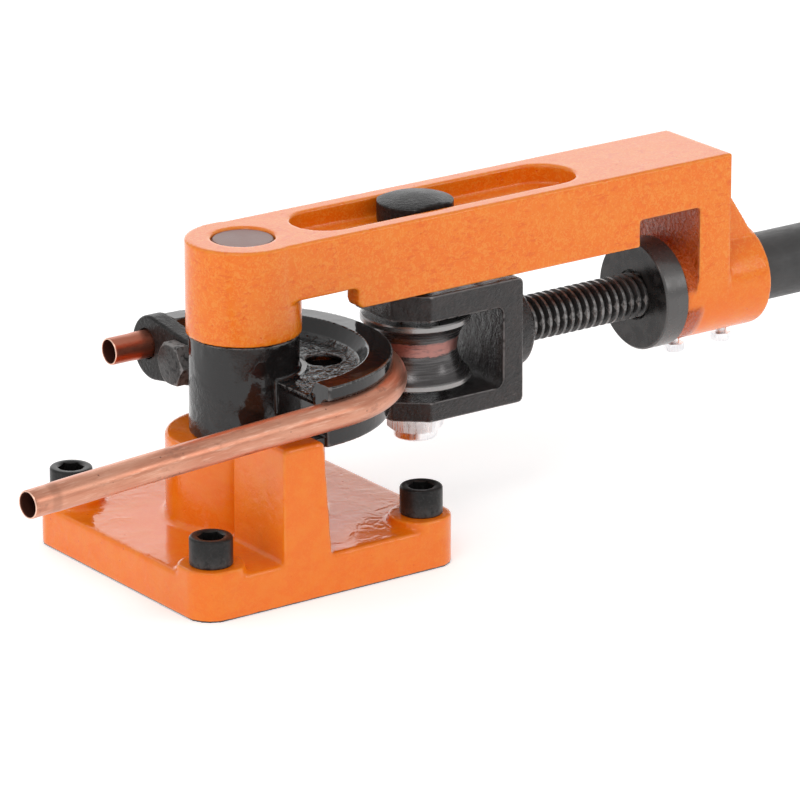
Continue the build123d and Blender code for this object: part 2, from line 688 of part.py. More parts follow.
with BuildPart() as adjusting_wheel:
    with BuildSketch(AXIS_PLANE.offset(WHEEL_FRONT_X)):
        Circle(WHEEL_R)
    extrude(amount=WHEEL_REAR_X - WHEEL_FRONT_X)
    chamfer(adjusting_wheel.edges().filter_by(GeomType.CIRCLE), RIM_CHAMFER)
    with BuildSketch(AXIS_PLANE.offset(WHEEL_FRONT_X)):
        Circle(WHEEL_BORE_R)
    extrude(amount=WHEEL_REAR_X - WHEEL_FRONT_X, mode=Mode.SUBTRACT)
    bore_mouth = adjusting_wheel.edges().filter_by(GeomType.CIRCLE).filter_by(
        lambda e: abs(e.radius - WHEEL_BORE_R) < 0.01
    )
    chamfer(bore_mouth, BORE_CHAMFER)
save(adjusting_wheel, "adjusting_wheel")
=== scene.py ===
"""Looks of the manual tube bender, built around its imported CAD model.

Metres, +Z up. The origin is on the pivot axis at the base's underside and the arm points along +X.
"""

from math import cos, pi, radians, sin, tan

import bmesh
import bpy
from mathutils import Matrix, Vector, noise


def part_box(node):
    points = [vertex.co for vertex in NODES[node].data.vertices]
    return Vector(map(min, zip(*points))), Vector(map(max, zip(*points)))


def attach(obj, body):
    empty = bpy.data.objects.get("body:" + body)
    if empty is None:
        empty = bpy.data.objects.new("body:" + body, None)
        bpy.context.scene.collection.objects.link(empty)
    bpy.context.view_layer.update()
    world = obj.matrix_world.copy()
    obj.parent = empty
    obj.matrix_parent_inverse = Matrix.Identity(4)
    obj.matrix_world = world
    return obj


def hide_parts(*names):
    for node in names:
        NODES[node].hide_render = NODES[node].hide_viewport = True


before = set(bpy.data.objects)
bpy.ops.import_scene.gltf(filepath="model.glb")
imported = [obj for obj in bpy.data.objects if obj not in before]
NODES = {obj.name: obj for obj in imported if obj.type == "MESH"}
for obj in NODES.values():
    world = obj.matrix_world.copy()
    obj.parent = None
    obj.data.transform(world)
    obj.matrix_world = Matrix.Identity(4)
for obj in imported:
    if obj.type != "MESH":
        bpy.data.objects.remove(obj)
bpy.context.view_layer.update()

MM = 0.001
AXIS_Z = (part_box("handle_tube")[0].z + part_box("handle_tube")[1].z) / 2

# the copper tube: straight far leg, bend round the die, near leg that sags a little
TUBE_R = 6.0 * MM
TUBE_WALL = 1.0 * MM
BEND_R = 61.5 * MM
BEND_END = radians(-84.8)
FAR_LEG = 27 * MM
NEAR_LEG = 160 * MM
SIZED_LENGTH = 11 * MM       # each cut end is a hair smaller over this length
BEND_LENGTH = (pi / 2 - BEND_END) * BEND_R
TUBE_LENGTH = FAR_LEG + BEND_LENGTH + NEAR_LEG
BEND_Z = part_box("copper_tube")[1].z - TUBE_R
NEAR_LEG_SAG = BEND_Z - TUBE_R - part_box("copper_tube")[0].z


# ================================================================ camera, floor and lights
CAMERA_PLACE = Vector((-1.3112, -1.9448, 0.8587))
CAMERA_AZIMUTH = radians(-35.565)
CAMERA_ELEVATION = radians(18.672)
CAMERA_ROLL = radians(-0.105)
CAMERA_LENS = 268.4          # millimetres, on a 36 mm sensor
FLOOR_SIZE = 30.0
FLOOR_GLOW = 0.34
STUDIO_MIDDLE = Vector((0.08, 0.0, 0.08))
SKY_STRENGTH = 0.76


def make_camera():
    back = Vector((
        sin(CAMERA_AZIMUTH) * cos(CAMERA_ELEVATION),
        -cos(CAMERA_AZIMUTH) * cos(CAMERA_ELEVATION),
        sin(CAMERA_ELEVATION),
    ))
    right = Vector((cos(CAMERA_AZIMUTH), sin(CAMERA_AZIMUTH), 0))
    up = back.cross(right)
    turn = Matrix((right, up, back)).transposed() @ Matrix.Rotation(CAMERA_ROLL, 3, "Z")
    camera = bpy.data.objects.new("camera", bpy.data.cameras.new("camera"))
    camera.data.sensor_width = 36.0
    camera.data.lens = CAMERA_LENS
    camera.matrix_world = Matrix.Translation(CAMERA_PLACE) @ turn.to_4x4()
    bpy.context.scene.collection.objects.link(camera)
    bpy.context.scene.camera = camera


def softbox(name, place, width, height, radiance):
    """Rectangular light that faces the tool. Its power follows from how bright its face is."""
    light = bpy.data.lights.new(name, "AREA")
    light.shape = "RECTANGLE"
    light.size = width
    light.size_y = height
    light.energy = radiance * pi * width * height
    box = bpy.data.objects.new(name, light)
    box.location = place
    box.rotation_euler = (STUDIO_MIDDLE - Vector(place)).to_track_quat("-Z", "Y").to_euler()
    box.visible_camera = False
    bpy.context.scene.collection.objects.link(box)


def make_studio():
    scene = bpy.context.scene
    scene.view_settings.view_transform = "Standard"
    world = bpy.data.worlds.new("studio")
    world.use_nodes = True
    sky = world.node_tree.nodes["Background"]
    sky.inputs["Color"].default_value = (1.0, 1.0, 1.0, 1.0)
    sky.inputs["Strength"].default_value = SKY_STRENGTH
    scene.world = world
    softbox("backdrop_light", (1.75, 2.45, 1.05), width=3.6, height=2.0, radiance=0.9)
    softbox("key_light", (-1.3, -1.0, 2.1), width=0.8, height=0.8, radiance=4.6)
    softbox("side_light", (1.5, -1.8, 1.1), width=0.4, height=0.9, radiance=3.6)
    softbox("left_strip", (-2.2, 0.1, 0.7), width=0.25, height=1.2, radiance=4.0)


# ================================================================ material kit
# the Mix node's colour sockets, which share their names with its plain number sockets
MIX_FIRST, MIX_SECOND, MIX_RESULT = 6, 7, 2


class Shader:
    """A Principled material with short ways to add the nodes that these materials share."""

    def __init__(self, name):
        self.material = bpy.data.materials.new(name)
        self.material.use_nodes = True
        self.tree = self.material.node_tree
        self.surface = self.tree.nodes["Principled BSDF"]
        self.place = self.tree.nodes.new("ShaderNodeTexCoord").outputs["Object"]

    def connect(self, value, socket):
        """A socket takes either another node's output or a plain value."""
        if isinstance(value, bpy.types.NodeSocket):
            self.tree.links.new(value, socket)
        else:
            socket.default_value = value

    def connect_colour(self, colour, socket):
        self.connect(colour if isinstance(colour, bpy.types.NodeSocket) else (*colour, 1.0), socket)

    def noise(self, size, detail=4.0, roughness=0.55, distortion=0.0, where=None):
        """Noise whose features are about `size` metres across."""
        node = self.tree.nodes.new("ShaderNodeTexNoise")
        self.tree.links.new(where or self.place, node.inputs["Vector"])
        node.inputs["Scale"].default_value = 1.0 / size
        node.inputs["Detail"].default_value = detail
        node.inputs["Roughness"].default_value = roughness
        node.inputs["Distortion"].default_value = distortion
        return node.outputs["Fac"]

    def cells(self, size, where=None):
        """Distance from scattered points about `size` metres apart."""
        node = self.tree.nodes.new("ShaderNodeTexVoronoi")
        self.tree.links.new(where or self.place, node.inputs["Vector"])
        node.inputs["Scale"].default_value = 1.0 / size
        return node.outputs["Distance"]

    def scaled(self, x, y, z, where=None):
        """The place, stretched along its axes."""
        node = self.tree.nodes.new("ShaderNodeVectorMath")
        node.operation = "MULTIPLY"
        self.tree.links.new(where or self.place, node.inputs[0])
        node.inputs[1].default_value = (x, y, z)
        return node.outputs["Vector"]

    def parts(self, where=None):
        """The X, Y and Z of a place."""
        node = self.tree.nodes.new("ShaderNodeSeparateXYZ")
        self.tree.links.new(where or self.place, node.inputs["Vector"])
        return node.outputs["X"], node.outputs["Y"], node.outputs["Z"]

    def math(self, operation, a, b=0.0):
        node = self.tree.nodes.new("ShaderNodeMath")
        node.operation = operation
        self.connect(a, node.inputs[0])
        self.connect(b, node.inputs[1])
        return node.outputs["Value"]

    def times(self, a, b):
        return self.math("MULTIPLY", a, b)

    def reach(self, a, b):
        """Distance from an axis, from the two coordinates across it."""
        return self.math("SQRT", self.math("ADD", self.times(a, a), self.times(b, b)))

    def turned(self, radius, feed):
        """The rings that a lathe tool leaves, one to each `feed` metres."""
        return self.math("SINE", self.times(radius, 2 * pi / feed))

    def step(self, value, low, high, start=0.0, end=1.0):
        """Smooth change from start to end as the value goes from low to high."""
        node = self.tree.nodes.new("ShaderNodeMapRange")
        node.interpolation_type = "SMOOTHSTEP"
        self.connect(value, node.inputs["Value"])
        node.inputs["From Min"].default_value = low
        node.inputs["From Max"].default_value = high
        node.inputs["To Min"].default_value = start
        node.inputs["To Max"].default_value = end
        return node.outputs["Result"]

    def between(self, value, low, high, soft):
        """1 inside a band of values, 0 outside it."""
        rise = self.step(value, low - soft, low + soft)
        fall = self.step(value, high - soft, high + soft, 1.0, 0.0)
        return self.times(rise, fall)

    def mix(self, factor, first, second):
        node = self.tree.nodes.new("ShaderNodeMix")
        node.data_type = "RGBA"
        self.connect(factor, node.inputs["Factor"])
        self.connect_colour(first, node.inputs[MIX_FIRST])
        self.connect_colour(second, node.inputs[MIX_SECOND])
        return node.outputs[MIX_RESULT]

    def bump(self, height, depth, below=None):
        """Relief of `depth` metres, laid over an earlier relief if one is given."""
        node = self.tree.nodes.new("ShaderNodeBump")
        node.inputs["Strength"].default_value = 1.0
        node.inputs["Distance"].default_value = depth
        self.connect(height, node.inputs["Height"])
        if below is not None:
            self.tree.links.new(below, node.inputs["Normal"])
        return node.outputs["Normal"]

    def facing(self):
        """The surface's own direction, before any relief."""
        return self.tree.nodes.new("ShaderNodeNewGeometry").outputs["Normal"]

    def worn_and_highlit_edges(self, wear_and_highlight, size, detail, low, high):
        """Convex edges of a finely meshed piece, broken up by noise: where edges are painted paler,
        partly as wear and partly as a painted highlight.

        wear_and_highlight is where the paler edge starts and where it is full: 0.5 is flat, and more is
        more convex.
        """
        geometry = self.tree.nodes.new("ShaderNodeNewGeometry")
        edges = self.step(geometry.outputs["Pointiness"], *wear_and_highlight)
        return self.times(edges, self.step(self.noise(size, detail=detail), low, high))

    def finish(self, colour, roughness, metal=0.0, normal=None):
        self.connect_colour(colour, self.surface.inputs["Base Color"])
        self.connect(roughness, self.surface.inputs["Roughness"])
        self.connect(metal, self.surface.inputs["Metallic"])
        if normal is not None:
            self.tree.links.new(normal, self.surface.inputs["Normal"])
        return self.material


# ================================================================ materials
ORANGE = (0.820, 0.165, 0.004)
ORANGE_LIGHT = (0.825, 0.190, 0.007)
ORANGE_PALE = (0.850, 0.290, 0.035)
ORANGE_DEEP = (0.740, 0.105, 0.001)
WINDOW_SHADE = (0.420, 0.045, 0.004)
DARK_BOTTOM_EDGE = (0.020, 0.016, 0.014)
# colour of black enamel's edges, painted paler as wear and as a painted highlight
BLACK_WORN_AND_HIGHLIT = (0.280, 0.270, 0.265)
# where convex edges start and finish being painted paler, as wear and as a painted highlight
ENAMEL_WEAR_AND_HIGHLIGHT = (0.515, 0.56)

# where the arm's window is, whose walls keep a raw cast relief and get a painted shade
WINDOW_START_X = 187 * MM
WINDOW_END_X = 224 * MM
WINDOW_TOP = 118 * MM
WINDOW_HALF_WIDTH = 22.2 * MM
# the paler rim of the adjusting wheel's face
RIM_INSET = 1.1 * MM
# the die: its hub, and the bowl between the hub and the rim
HUB_R = 24.5 * MM
BOWL_INNER_R = 26.5 * MM
BOWL_OUTER_R = 51 * MM
BOWL_FLOOR = 79 * MM
BOWL_TOP = 82.5 * MM


def orange_enamel():
    """Gloss enamel over sand-cast iron: worm-like orange peel, fine pits, paler edges for thin paint and
    a painted highlight, and a painted shade in the arm's window.
    """
    s = Shader("orange_enamel")
    x, y, z = s.parts()
    # the base was cast finer than the arm
    coarse = s.step(z, 60 * MM, 95 * MM, 0.25, 1.0)
    cloud = s.noise(9 * MM, detail=5, roughness=0.62)
    worm = s.noise(1.6 * MM, detail=3, roughness=0.55, distortion=1.3)
    colour = s.mix(s.step(cloud, 0.40, 0.64), ORANGE, ORANGE_LIGHT)
    colour = s.mix(s.times(s.step(worm, 0.50, 0.58, 0.0, 0.60), coarse), colour, ORANGE_PALE)
    streak = s.noise(2.2 * MM, detail=3, roughness=0.6, distortion=0.7, where=s.scaled(0.55, 0.55, 1.4))
    dense = s.times(s.step(s.noise(22 * MM, detail=2), 0.40, 0.60, 0.25, 1.0), coarse)
    colour = s.mix(s.times(s.step(streak, 0.53, 0.64, 0.0, 0.60), dense), colour, ORANGE_DEEP)
    pit = s.times(s.step(s.cells(4.6 * MM), 0.05, 0.13, 1.0, 0.0), s.step(s.noise(11 * MM), 0.50, 0.60))
    colour = s.mix(s.times(pit, 0.8), colour, ORANGE_DEEP)
    # edges painted paler: partly thin paint, partly a painted highlight
    worn_and_highlit = s.worn_and_highlit_edges(ENAMEL_WEAR_AND_HIGHLIGHT, 6 * MM, 3, 0.3, 0.55)
    colour = s.mix(s.times(worn_and_highlit, 0.55), colour, ORANGE_PALE)
    # a ragged near-black band runs round the foot of the base, just above its underside
    ragged = s.math("ADD", z, s.times(s.noise(5 * MM), -0.9 * MM))
    colour = s.mix(s.step(ragged, 0.1 * MM, 0.4 * MM, 1.0, 0.0), colour, DARK_BOTTOM_EDGE)
    window = s.times(s.between(x, WINDOW_START_X, WINDOW_END_X, 2 * MM),
                     s.step(z, WINDOW_TOP, WINDOW_TOP + 1 * MM, 1.0, 0.0))
    inside = s.step(s.math("ABSOLUTE", y), WINDOW_HALF_WIDTH, WINDOW_HALF_WIDTH + 0.7 * MM, 1.0, 0.0)
    window = s.times(window, inside)
    # painted shade: the window's inner walls are darkened to a deep red-brown
    colour = s.mix(s.times(window, 0.75), colour, WINDOW_SHADE)
    # orange peel on all but level faces, then slow waves, pits and the window's raw skin
    level = s.step(s.parts(s.facing())[2], 0.90, 0.98)
    skin = s.bump(s.times(worm, s.math("SUBTRACT", 1.0, level)), 0.11 * MM)
    rippled = s.step(s.noise(34 * MM, detail=1), 0.40, 0.60)
    wave = s.times(s.noise(9 * MM, detail=2, distortion=1.0), rippled)
    below_arm = s.step(z, 100 * MM, 105 * MM, 1.0, 0.12)
    skin = s.bump(s.times(wave, below_arm), 0.38 * MM, skin)
    skin = s.bump(s.times(pit, -1.0), 0.15 * MM, skin)
    raw = s.times(s.noise(2.4 * MM, detail=4, roughness=0.65), window)
    skin = s.bump(raw, 2.6 * MM, skin)
    s.surface.inputs["Specular IOR Level"].default_value = 0.42
    gloss = s.step(s.noise(14 * MM, detail=3), 0.3, 0.7, 0.08, 0.17)
    return s.finish(colour, gloss, normal=skin)


def black_enamel():
    """Thick gloss black over a casting: smooth on turned faces, uneven on the hub and in the bowl."""
    s = Shader("black_enamel")
    x, y, z = s.parts()
    radius = s.reach(x, y)
    bowl = s.times(s.between(radius, BOWL_INNER_R, BOWL_OUTER_R, 1.0 * MM),
                   s.between(z, BOWL_FLOOR, BOWL_TOP, 0.8 * MM))
    # dull patches on the hub, whose paint is smoother than elsewhere
    patch = s.times(s.step(s.noise(17 * MM, detail=2), 0.44, 0.60),
                    s.step(radius, HUB_R, HUB_R + 1 * MM, 1.0, 0.0))
    off_hub = s.step(radius, HUB_R - 0.5 * MM, HUB_R + 1 * MM, 0.12, 1.0)
    skin = s.bump(s.times(s.noise(9 * MM, detail=1), off_hub), 0.20 * MM)
    skin = s.bump(s.noise(2.0 * MM, detail=2), 0.035 * MM, skin)
    skin = s.bump(s.times(s.noise(5.5 * MM, detail=3, distortion=0.5), bowl), 2.2 * MM, skin)
    skin = s.bump(s.times(s.noise(2.6 * MM, detail=4, roughness=0.65), patch), 0.55 * MM, skin)
    fine = s.noise(1.5 * MM, detail=4, roughness=0.7)
    colour = s.mix(s.step(fine, 0.5, 0.75, 0.0, 0.35), (0.009, 0.008, 0.008), (0.034, 0.031, 0.031))
    # edges painted paler: partly wear, partly a painted highlight
    worn_and_highlit = s.worn_and_highlit_edges(ENAMEL_WEAR_AND_HIGHLIGHT, 4 * MM, 3, 0.35, 0.55)
    colour = s.mix(s.times(worn_and_highlit, 0.6), colour, BLACK_WORN_AND_HIGHLIT)
    gloss = s.math("ADD", s.step(s.noise(12 * MM), 0.35, 0.7, 0.06, 0.14), s.times(patch, 0.10))
    return s.finish(colour, gloss, normal=skin)


def yoke_enamel():
    """Thin brown-black paint on a rough casting, lighter along its edges as wear and as a painted
    highlight.
    """
    s = Shader("yoke_enamel")
    grain = s.noise(1.3 * MM, detail=5, roughness=0.7)
    blotch = s.noise(8 * MM, detail=4)
    colour = s.mix(s.step(blotch, 0.4, 0.65), (0.009, 0.007, 0.007), (0.022, 0.016, 0.015))
    colour = s.mix(s.step(grain, 0.56, 0.74, 0.0, 0.6), colour, (0.085, 0.070, 0.068))
    # edges painted paler: partly wear, partly a painted highlight
    worn_and_highlit = s.worn_and_highlit_edges((0.522, 0.565), 3 * MM, 4, 0.30, 0.50)
    colour = s.mix(s.times(worn_and_highlit, 0.85), colour, (0.330, 0.310, 0.305))
    skin = s.bump(s.noise(5 * MM, detail=3, roughness=0.5), 0.9 * MM)
    skin = s.bump(grain, 0.62 * MM, skin)
    gloss = s.step(blotch, 0.35, 0.7, 0.07, 0.20)
    return s.finish(colour, gloss, normal=skin)


def black_oxide(name, tone, worn_tone, roughness, grain_size=1.1 * MM, relief=0.05 * MM, shine=0.5,
                wear_and_highlight=(0.535, 0.60)):
    """Oiled black-oxide steel: dark with a fine grain, paler in clouds where it was handled, and paler on
    its edges as wear and as a painted highlight.

    The tones are greys. Roughness is its lowest and highest value.
    """
    s = Shader(name)
    grain = s.noise(grain_size, detail=4, roughness=0.65)
    cloud = s.noise(13 * MM, detail=3)
    dark = tuple(tone * part for part in (1.0, 0.95, 0.94))
    pale = tuple(worn_tone * part for part in (1.0, 0.97, 0.95))
    colour = s.mix(s.step(grain, 0.45, 0.75, 0.0, 0.5), dark, pale)
    colour = s.mix(s.step(cloud, 0.45, 0.75, 0.0, 0.35), colour, pale)
    # edges painted paler: partly handling wear, partly a painted highlight
    worn_and_highlit = s.worn_and_highlit_edges(wear_and_highlight, 2.5 * MM, 3, 0.3, 0.55)
    colour = s.mix(s.times(worn_and_highlit, 0.7), colour, (0.300, 0.290, 0.285))
    skin = s.bump(grain, relief)
    s.surface.inputs["Specular IOR Level"].default_value = shine
    return s.finish(colour, s.step(cloud, 0.3, 0.7, *roughness), 0.30, skin)


def turned_wheel_steel():
    """Black-oxide disc, faced on a lathe: very fine rings round its axis and a paler rim."""
    s = Shader("turned_wheel_steel")
    low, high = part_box("adjusting_wheel")
    _, y, z = s.parts()
    radius = s.reach(y, s.math("SUBTRACT", z, (low.z + high.z) / 2))
    rings = s.turned(radius, 0.55 * MM)
    smear = s.noise(6 * MM, detail=4)
    colour = s.mix(s.step(smear, 0.35, 0.7), (0.018, 0.017, 0.017), (0.042, 0.040, 0.039))
    rim_r = (high.z - low.z) / 2
    rim = s.step(radius, rim_r - RIM_INSET, rim_r - RIM_INSET + 0.8 * MM)
    colour = s.mix(s.times(rim, 0.6), colour, (0.150, 0.145, 0.142))
    skin = s.bump(rings, 0.006 * MM)
    skin = s.bump(s.noise(1.4 * MM, detail=4), 0.05 * MM, skin)
    return s.finish(colour, s.step(smear, 0.3, 0.7, 0.20, 0.34), 0.5, skin)


def roller_steel():
    """Dark turned steel with copper rubbed off from the tube round the waist, and flange rims painted
    paler as a painted highlight.
    """
    s = Shader("roller_steel")
    low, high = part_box("grooved_roller")
    height = s.math("SUBTRACT", s.parts()[2], (low.z + high.z) / 2)
    rings = s.noise(1.0 * MM, detail=4, where=s.scaled(0.06, 0.06, 1.0))
    smear = s.noise(1.6 * MM, detail=5, roughness=0.7, where=s.scaled(0.35, 0.35, 1.0))
    ragged = s.math("ADD", height, s.times(s.math("SUBTRACT", smear, 0.5), 3.2 * MM))
    band = s.times(s.between(ragged, -0.6 * MM, 5.2 * MM, 0.30 * MM),
                   s.step(smear, 0.36, 0.52, 0.55, 1.0))
    colour = s.mix(s.step(rings, 0.35, 0.7), (0.070, 0.066, 0.066), (0.140, 0.134, 0.134))
    # painted highlight: the flange rims are painted paler
    flange_highlight = s.step(s.math("ABSOLUTE", height), 11.2 * MM, 12.4 * MM)
    colour = s.mix(s.times(flange_highlight, 0.8), colour, (0.360, 0.350, 0.345))
    colour = s.mix(band, colour, (0.400, 0.190, 0.165))
    skin = s.bump(rings, 0.018 * MM)
    skin = s.bump(s.noise(0.9 * MM, detail=3), 0.05 * MM, skin)
    skin = s.bump(s.times(smear, band), 0.16 * MM, skin)
    gloss = s.math("ADD", s.step(rings, 0.3, 0.7, 0.22, 0.30), s.times(band, 0.08))
    return s.finish(colour, gloss, 0.85, skin)


def zinc_plate():
    """Bright zinc over drawn steel, with fine draw marks and duller patches."""
    s = Shader("zinc_plate")
    draw = s.noise(0.9 * MM, detail=3, where=s.scaled(1.0, 1.0, 0.12))
    cloud = s.noise(5 * MM, detail=3)
    colour = s.mix(s.step(cloud, 0.35, 0.7), (0.92, 0.92, 0.93), (0.76, 0.76, 0.78))
    skin = s.bump(draw, 0.03 * MM)
    return s.finish(colour, s.step(draw, 0.3, 0.7, 0.22, 0.40), 1.0, skin)


def nylon_insert():
    """Off-white nylon ring of a locking nut."""
    s = Shader("nylon_insert")
    cloud = s.noise(3 * MM, detail=3)
    colour = s.mix(cloud, (0.70, 0.71, 0.70), (0.58, 0.60, 0.60))
    return s.finish(colour, 0.42, normal=s.bump(s.noise(0.8 * MM), 0.03 * MM))


def pin_steel():
    """Cut end of a steel bar: concentric turning marks, a thin brown film of rust and oil, and a painted
    shade on its outer rim next to the gap round it.
    """
    s = Shader("pin_steel")
    x, y, _ = s.parts()
    radius = s.reach(x, y)
    rings = s.turned(radius, 0.8 * MM)
    film = s.noise(7 * MM, detail=5, roughness=0.6)
    colour = s.mix(s.step(film, 0.3, 0.7), (0.17, 0.100, 0.088), (0.27, 0.170, 0.155))
    # painted shade: the outer rim is darkened where the gap round the pin lies in shade
    edge = s.step(radius, 12.0 * MM, 12.7 * MM)
    colour = s.mix(s.times(edge, 0.6), colour, (0.14, 0.08, 0.07))
    skin = s.bump(rings, 0.010 * MM)
    skin = s.bump(s.noise(1.2 * MM, detail=4), 0.05 * MM, skin)
    return s.finish(colour, s.step(film, 0.3, 0.7, 0.36, 0.5), 0.75, skin)


def bronze():
    """Cast bearing bronze, polished in patches by running."""
    s = Shader("bronze")
    cloud = s.noise(4 * MM, detail=4)
    colour = s.mix(cloud, (0.52, 0.31, 0.11), (0.66, 0.43, 0.18))
    return s.finish(colour, s.step(cloud, 0.3, 0.7, 0.25, 0.4), 1.0, s.bump(s.noise(0.9 * MM), 0.03 * MM))


def handle_paint():
    """Semi-matt black paint on a drawn steel tube."""
    s = Shader("handle_paint")
    grain = s.noise(1.2 * MM, detail=4, where=s.scaled(0.3, 1.0, 1.0))
    cloud = s.noise(16 * MM, detail=4)
    colour = s.mix(s.step(cloud, 0.35, 0.7), (0.030, 0.029, 0.029), (0.046, 0.045, 0.045))
    return s.finish(colour, s.step(grain, 0.3, 0.7, 0.38, 0.52), normal=s.bump(grain, 0.06 * MM))


def moulded_plastic():
    """Black moulded plastic with a fine texture."""
    s = Shader("moulded_plastic")
    grain = s.noise(0.7 * MM, detail=3)
    colour = s.mix(grain, (0.018, 0.018, 0.018), (0.030, 0.030, 0.030))
    return s.finish(colour, 0.55, normal=s.bump(grain, 0.05 * MM))


def copper():
    """Drawn copper: pale lengthwise streaks, brown stains and a few dark spots.

    The pattern lies on the tube as if it were straight: X runs along it.
    """
    s = Shader("copper")
    node = s.tree.nodes.new("ShaderNodeAttribute")
    node.attribute_name = "unrolled"
    straight = node.outputs["Vector"]
    along = s.parts(straight)[0]
    streak = s.noise(1.1 * MM, detail=5, roughness=0.68, where=s.scaled(0.10, 1.0, 1.0, straight))
    drift = s.noise(6 * MM, detail=4, where=s.scaled(0.16, 1.0, 1.0, straight))
    stain = s.noise(9 * MM, detail=6, roughness=0.70, where=s.scaled(0.55, 1.0, 1.0, straight))
    colour = s.mix(s.step(drift, 0.35, 0.68), (0.55, 0.225, 0.140), (0.68, 0.345, 0.235))
    colour = s.mix(s.step(streak, 0.50, 0.70, 0.0, 0.65), colour, (0.78, 0.470, 0.350))
    colour = s.mix(s.step(streak, 0.30, 0.44, 0.50, 0.0), colour, (0.44, 0.165, 0.100))
    colour = s.mix(s.step(stain, 0.54, 0.68, 0.0, 0.70), colour, (0.34, 0.155, 0.105))
    spot = s.times(s.step(s.cells(4.5 * MM, straight), 0.05, 0.12, 1.0, 0.0),
                   s.step(s.noise(18 * MM, where=straight), 0.48, 0.58))
    colour = s.mix(s.times(spot, 0.8), colour, (0.11, 0.050, 0.035))
    # the far leg is darker and redder, and a band where the free end was sized is browner
    colour = s.mix(s.step(along, 20 * MM, 60 * MM, 0.60, 0.0), colour, (0.40, 0.105, 0.065))
    from_end = s.math("SUBTRACT", TUBE_LENGTH, along)
    ragged = s.math("ADD", from_end, s.times(stain, 5 * MM))
    sized_band = s.between(ragged, SIZED_LENGTH, SIZED_LENGTH + 4 * MM, 1 * MM)
    colour = s.mix(s.times(sized_band, 0.45), colour, (0.38, 0.170, 0.110))
    skin = s.bump(streak, 0.04 * MM)
    skin = s.bump(drift, 0.10 * MM, skin)
    gloss = s.step(drift, 0.3, 0.7, 0.28, 0.44)
    return s.finish(colour, gloss, 0.92, skin)


def copper_cut():
    """Freshly deburred copper on the cut ends."""
    s = Shader("copper_cut")
    grain = s.noise(0.6 * MM, detail=3)
    colour = s.mix(grain, (0.86, 0.480, 0.340), (0.92, 0.620, 0.500))
    return s.finish(colour, 0.30, 0.9, s.bump(grain, 0.03 * MM))


def copper_bore():
    """Dark, dull oxide inside the tube."""
    s = Shader("copper_bore")
    film = s.noise(3 * MM, detail=4)
    colour = s.mix(film, (0.10, 0.030, 0.020), (0.20, 0.070, 0.045))
    return s.finish(colour, 0.5, 0.8, s.bump(film, 0.05 * MM))


def floor_paper():
    """White studio paper, lit up a little so that it stays as pale as the backdrop."""
    s = Shader("floor_paper")
    tooth = s.noise(4 * MM, detail=3)
    colour = s.mix(s.step(s.noise(0.6, detail=2), 0.3, 0.7), (0.93, 0.93, 0.93), (0.95, 0.95, 0.95))
    s.surface.inputs["Emission Color"].default_value = (1.0, 1.0, 1.0, 1.0)
    s.surface.inputs["Emission Strength"].default_value = FLOOR_GLOW
    return s.finish(colour, 0.8, normal=s.bump(tooth, 0.02 * MM))


# ================================================================ mesh kit
WELD = 0.001 * MM            # points nearer than this are joined
RING_STEPS = 96              # points round a ring, a multiple of a hexagon's six sides
ROUND_STEPS = 6              # facets in a quarter round
HEX_CHAMFER = radians(30)
# the sharpest bend that still looks smooth, in degrees
TURNED_EDGE = 35.0
THREAD_EDGE = 40.0
TUBE_EDGE = 50.0
CAST_EDGE = 180.0
# the slow lumps and the finer ripples of a cast skin
LUMP_SIZE = 11 * MM
RIPPLE_SIZE = 4 * MM


def new_object(name, mesh):
    piece = bpy.data.objects.new(name, mesh)
    bpy.context.scene.collection.objects.link(piece)
    return piece


def welded(mesh, distance):
    """Editable copy of a mesh, with its doubled points joined."""
    shape = bmesh.new()
    shape.from_mesh(mesh)
    bmesh.ops.remove_doubles(shape, verts=shape.verts, dist=distance)
    bmesh.ops.dissolve_degenerate(shape, edges=shape.edges, dist=distance)
    return shape


def turn_outwards(shape, mesh):
    """Writes an edited shape back to its mesh, with every face turned outwards."""
    bmesh.ops.recalc_face_normals(shape, faces=shape.faces)
    shape.to_mesh(mesh)
    shape.free()


def new_piece(name, vertices, faces, material):
    mesh = bpy.data.meshes.new(name)
    mesh.from_pydata(vertices, [], faces)
    turn_outwards(welded(mesh, 2 * WELD), mesh)
    mesh.materials.append(material)
    return new_object(name, mesh)


def shade(piece, sharpest):
    """Smooth shading that breaks at edges sharper than an angle in degrees."""
    mesh = piece.data
    mesh.polygons.foreach_set("use_smooth", [True] * len(mesh.polygons))
    mesh.set_sharp_from_angle(angle=radians(sharpest))
    return piece


def place_rings(rings, matrix, name, material, close=True):
    """Skin over a stack of rings, each a list of as many points, with flat ends if asked."""
    count = len(rings[0])
    vertices = [matrix @ Vector(point) for ring in rings for point in ring]
    faces = []
    for row in range(len(rings) - 1):
        for i in range(count):
            j = (i + 1) % count
            faces.append((row * count + i, row * count + j,
                          (row + 1) * count + j, (row + 1) * count + i))
    if close:
        faces.append(tuple(range(count)))
        faces.append(tuple((len(rings) - 1) * count + i for i in range(count)))
    return shade(new_piece(name, vertices, faces, material), TURNED_EDGE)


def around(count):
    """Evenly spaced angles of a full turn."""
    return [2 * pi * i / count for i in range(count)]


def quarter_turn():
    """Angles from nought to a right angle, for a rounded edge."""
    return [pi / 2 * i / ROUND_STEPS for i in range(ROUND_STEPS + 1)]


def ring(radius, height):
    return [(radius * cos(angle), radius * sin(angle), height) for angle in around(RING_STEPS)]


def hex_reach(angle, across_flats):
    """Distance from a hexagon's centre to its side, in a direction."""
    sector = (angle + pi / 6) % (pi / 3) - pi / 6
    return across_flats / 2 / cos(sector)


def chamfer_radius(across_flats):
    """The circle on a hexagon's end face where its chamfer starts."""
    return across_flats / 2 * 0.955


